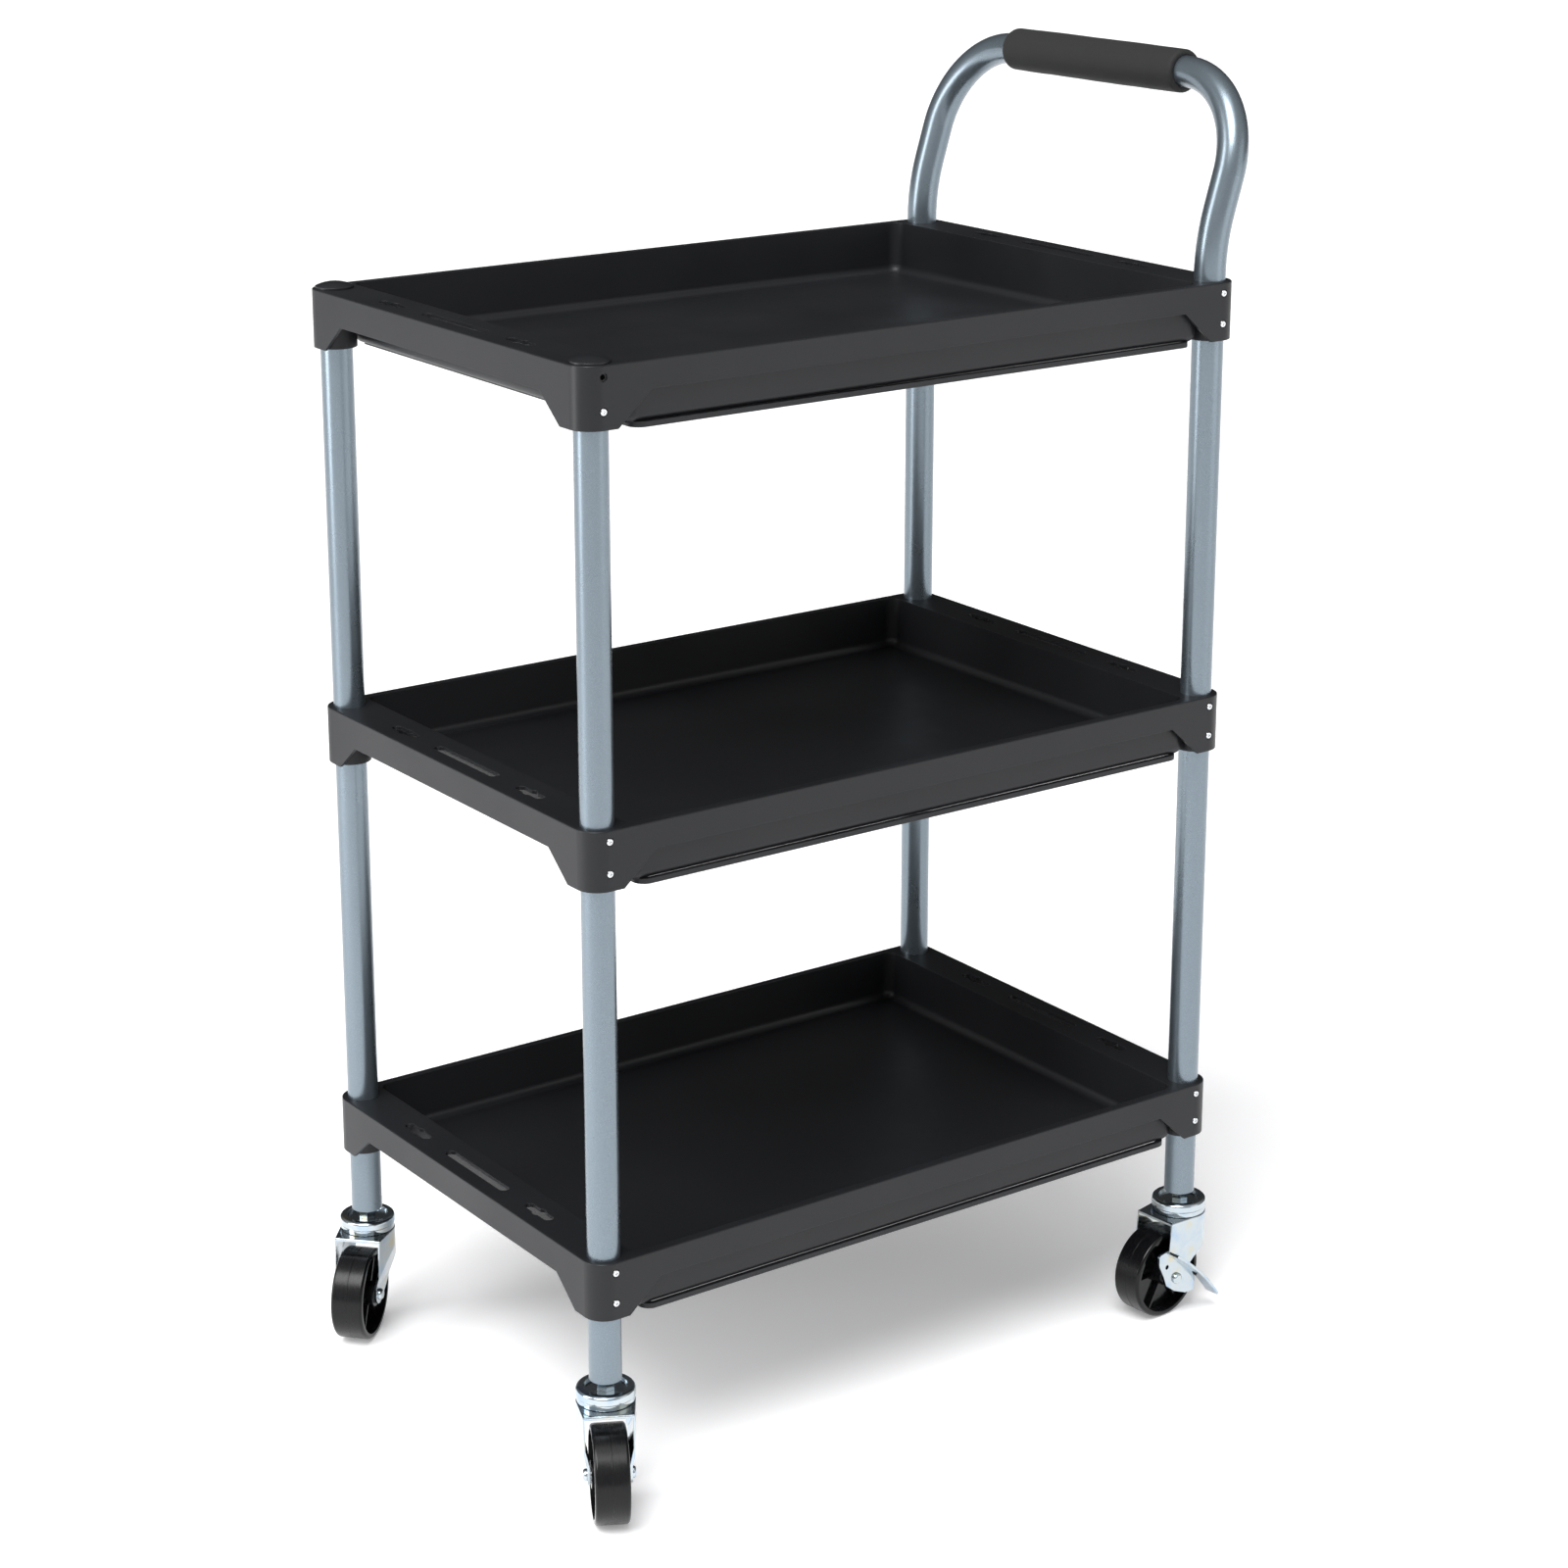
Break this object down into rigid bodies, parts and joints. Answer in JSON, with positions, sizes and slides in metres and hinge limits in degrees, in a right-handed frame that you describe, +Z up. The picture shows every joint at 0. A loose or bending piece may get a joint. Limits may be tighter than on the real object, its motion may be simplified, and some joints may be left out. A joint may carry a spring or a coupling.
{
  "type": "tool cart",
  "caption": "Three-shelf rolling tool cart: moulded trays on tube posts, tool slots in the end ledges, a bent push handle with a foam grip, and swivel casters.",
  "frame": {"origin": "on the floor under the middle of the trays", "axes": "+Z up, +X along the long side towards the push handle, +Y across the cart"},
  "size_m": [0.692, 0.4962, 1.0579],
  "materials": {
    "tray_plastic": "fine moulded texture, satin",
    "post_paint": "silver powder coat, satin",
    "grip_foam": "closed-cell foam, matte",
    "cap_plastic": "moulded, satin",
    "screw_steel": "bright zinc plate",
    "zinc_plate": "bright blue zinc plate on pressed steel",
    "ball_steel": "polished",
    "socket_plastic": "moulded",
    "wheel_plastic": "moulded, satin gloss"
  },
  "bodies": {
    "frame": {"bottom_tray": "tray_plastic", "middle_tray": "tray_plastic", "top_tray": "tray_plastic", "bottom_tray_screws": "screw_steel", "middle_tray_screws": "screw_steel", "top_tray_screws": "screw_steel", "front_left_stub_post": "post_paint", "front_left_lower_post": "post_paint", "front_left_upper_post": "post_paint", "back_left_stub_post": "post_paint", "back_left_lower_post": "post_paint", "back_left_upper_post": "post_paint", "front_right_stub_post": "post_paint", "front_right_lower_post": "post_paint", "front_right_upper_post": "post_paint", "back_right_stub_post": "post_paint", "back_right_lower_post": "post_paint", "back_right_upper_post": "post_paint", "front_left_post_cap": "cap_plastic", "back_left_post_cap": "cap_plastic", "handle_tube": "post_paint", "handle_grip": "grip_foam", "stem_nuts": "zinc_plate", "front_left_stem": "zinc_plate", "front_left_stem_socket": "socket_plastic", "front_left_top_race": "zinc_plate", "front_left_balls": "ball_steel", "back_left_stem": "zinc_plate", "back_left_stem_socket": "socket_plastic", "back_left_top_race": "zinc_plate", "back_left_balls": "ball_steel", "front_right_stem": "zinc_plate", "front_right_stem_socket": "socket_plastic", "front_right_top_race": "zinc_plate", "front_right_balls": "ball_steel", "back_right_stem": "zinc_plate", "back_right_stem_socket": "socket_plastic", "back_right_top_race": "zinc_plate", "back_right_balls": "ball_steel"},
    "front_left_swivel": {"front_left_fork": "zinc_plate", "front_left_axle": "zinc_plate", "front_left_axle_sleeve": "zinc_plate"},
    "front_left_rolling_wheel": {"front_left_wheel": "wheel_plastic"},
    "back_left_swivel": {"back_left_fork": "zinc_plate", "back_left_axle": "zinc_plate", "back_left_axle_sleeve": "zinc_plate"},
    "back_left_rolling_wheel": {"back_left_wheel": "wheel_plastic"},
    "front_right_swivel": {"front_right_fork": "zinc_plate", "front_right_axle": "zinc_plate", "front_right_axle_sleeve": "zinc_plate"},
    "front_right_rolling_wheel": {"front_right_wheel": "wheel_plastic"},
    "front_right_brake": {"front_right_brake_lever": "zinc_plate"},
    "back_right_swivel": {"back_right_fork": "zinc_plate", "back_right_axle": "zinc_plate", "back_right_axle_sleeve": "zinc_plate"},
    "back_right_rolling_wheel": {"back_right_wheel": "wheel_plastic"},
    "back_right_brake": {"back_right_brake_lever": "zinc_plate"}
  },
  "joints": [
    {"name": "front_left_swivel_turn", "type": "hinge", "parent": "frame", "child": "front_left_swivel", "pos_m": [-0.29, -0.1855, 0.085], "axis": [0, 0, 1], "continuous": true},
    {"name": "front_left_wheel_roll", "type": "hinge", "parent": "front_left_swivel", "child": "front_left_rolling_wheel", "pos_m": [-0.30221, -0.20846, 0.038], "axis": [0.8829, -0.4695, 0], "continuous": true},
    {"name": "back_left_swivel_turn", "type": "hinge", "parent": "frame", "child": "back_left_swivel", "pos_m": [-0.29, 0.1855, 0.085], "axis": [0, 0, 1], "continuous": true},
    {"name": "back_left_wheel_roll", "type": "hinge", "parent": "back_left_swivel", "child": "back_left_rolling_wheel", "pos_m": [-0.30902, 0.16777, 0.038], "axis": [0.682, -0.7314, 0], "continuous": true},
    {"name": "front_right_swivel_turn", "type": "hinge", "parent": "frame", "child": "front_right_swivel", "pos_m": [0.29, -0.1855, 0.085], "axis": [0, 0, 1], "continuous": true},
    {"name": "front_right_wheel_roll", "type": "hinge", "parent": "front_right_swivel", "child": "front_right_rolling_wheel", "pos_m": [0.26414, -0.18822, 0.038], "axis": [0.1045, -0.9945, 0], "continuous": true},
    {"name": "front_right_brake_lift", "type": "hinge", "parent": "front_right_swivel", "child": "front_right_brake", "pos_m": [0.26414, -0.18822, 0.038], "axis": [0.1045, -0.9945, 0], "range_deg": [0, 25]},
    {"name": "back_right_swivel_turn", "type": "hinge", "parent": "frame", "child": "back_right_swivel", "pos_m": [0.29, 0.1855, 0.085], "axis": [0, 0, 1], "continuous": true},
    {"name": "back_right_wheel_roll", "type": "hinge", "parent": "back_right_swivel", "child": "back_right_rolling_wheel", "pos_m": [0.27942, 0.20925, 0.038], "axis": [-0.9135, -0.4067, 0], "continuous": true},
    {"name": "back_right_brake_lift", "type": "hinge", "parent": "back_right_swivel", "child": "back_right_brake", "pos_m": [0.27942, 0.20925, 0.038], "axis": [-0.9135, -0.4067, 0], "range_deg": [0, 25]}
  ]
}
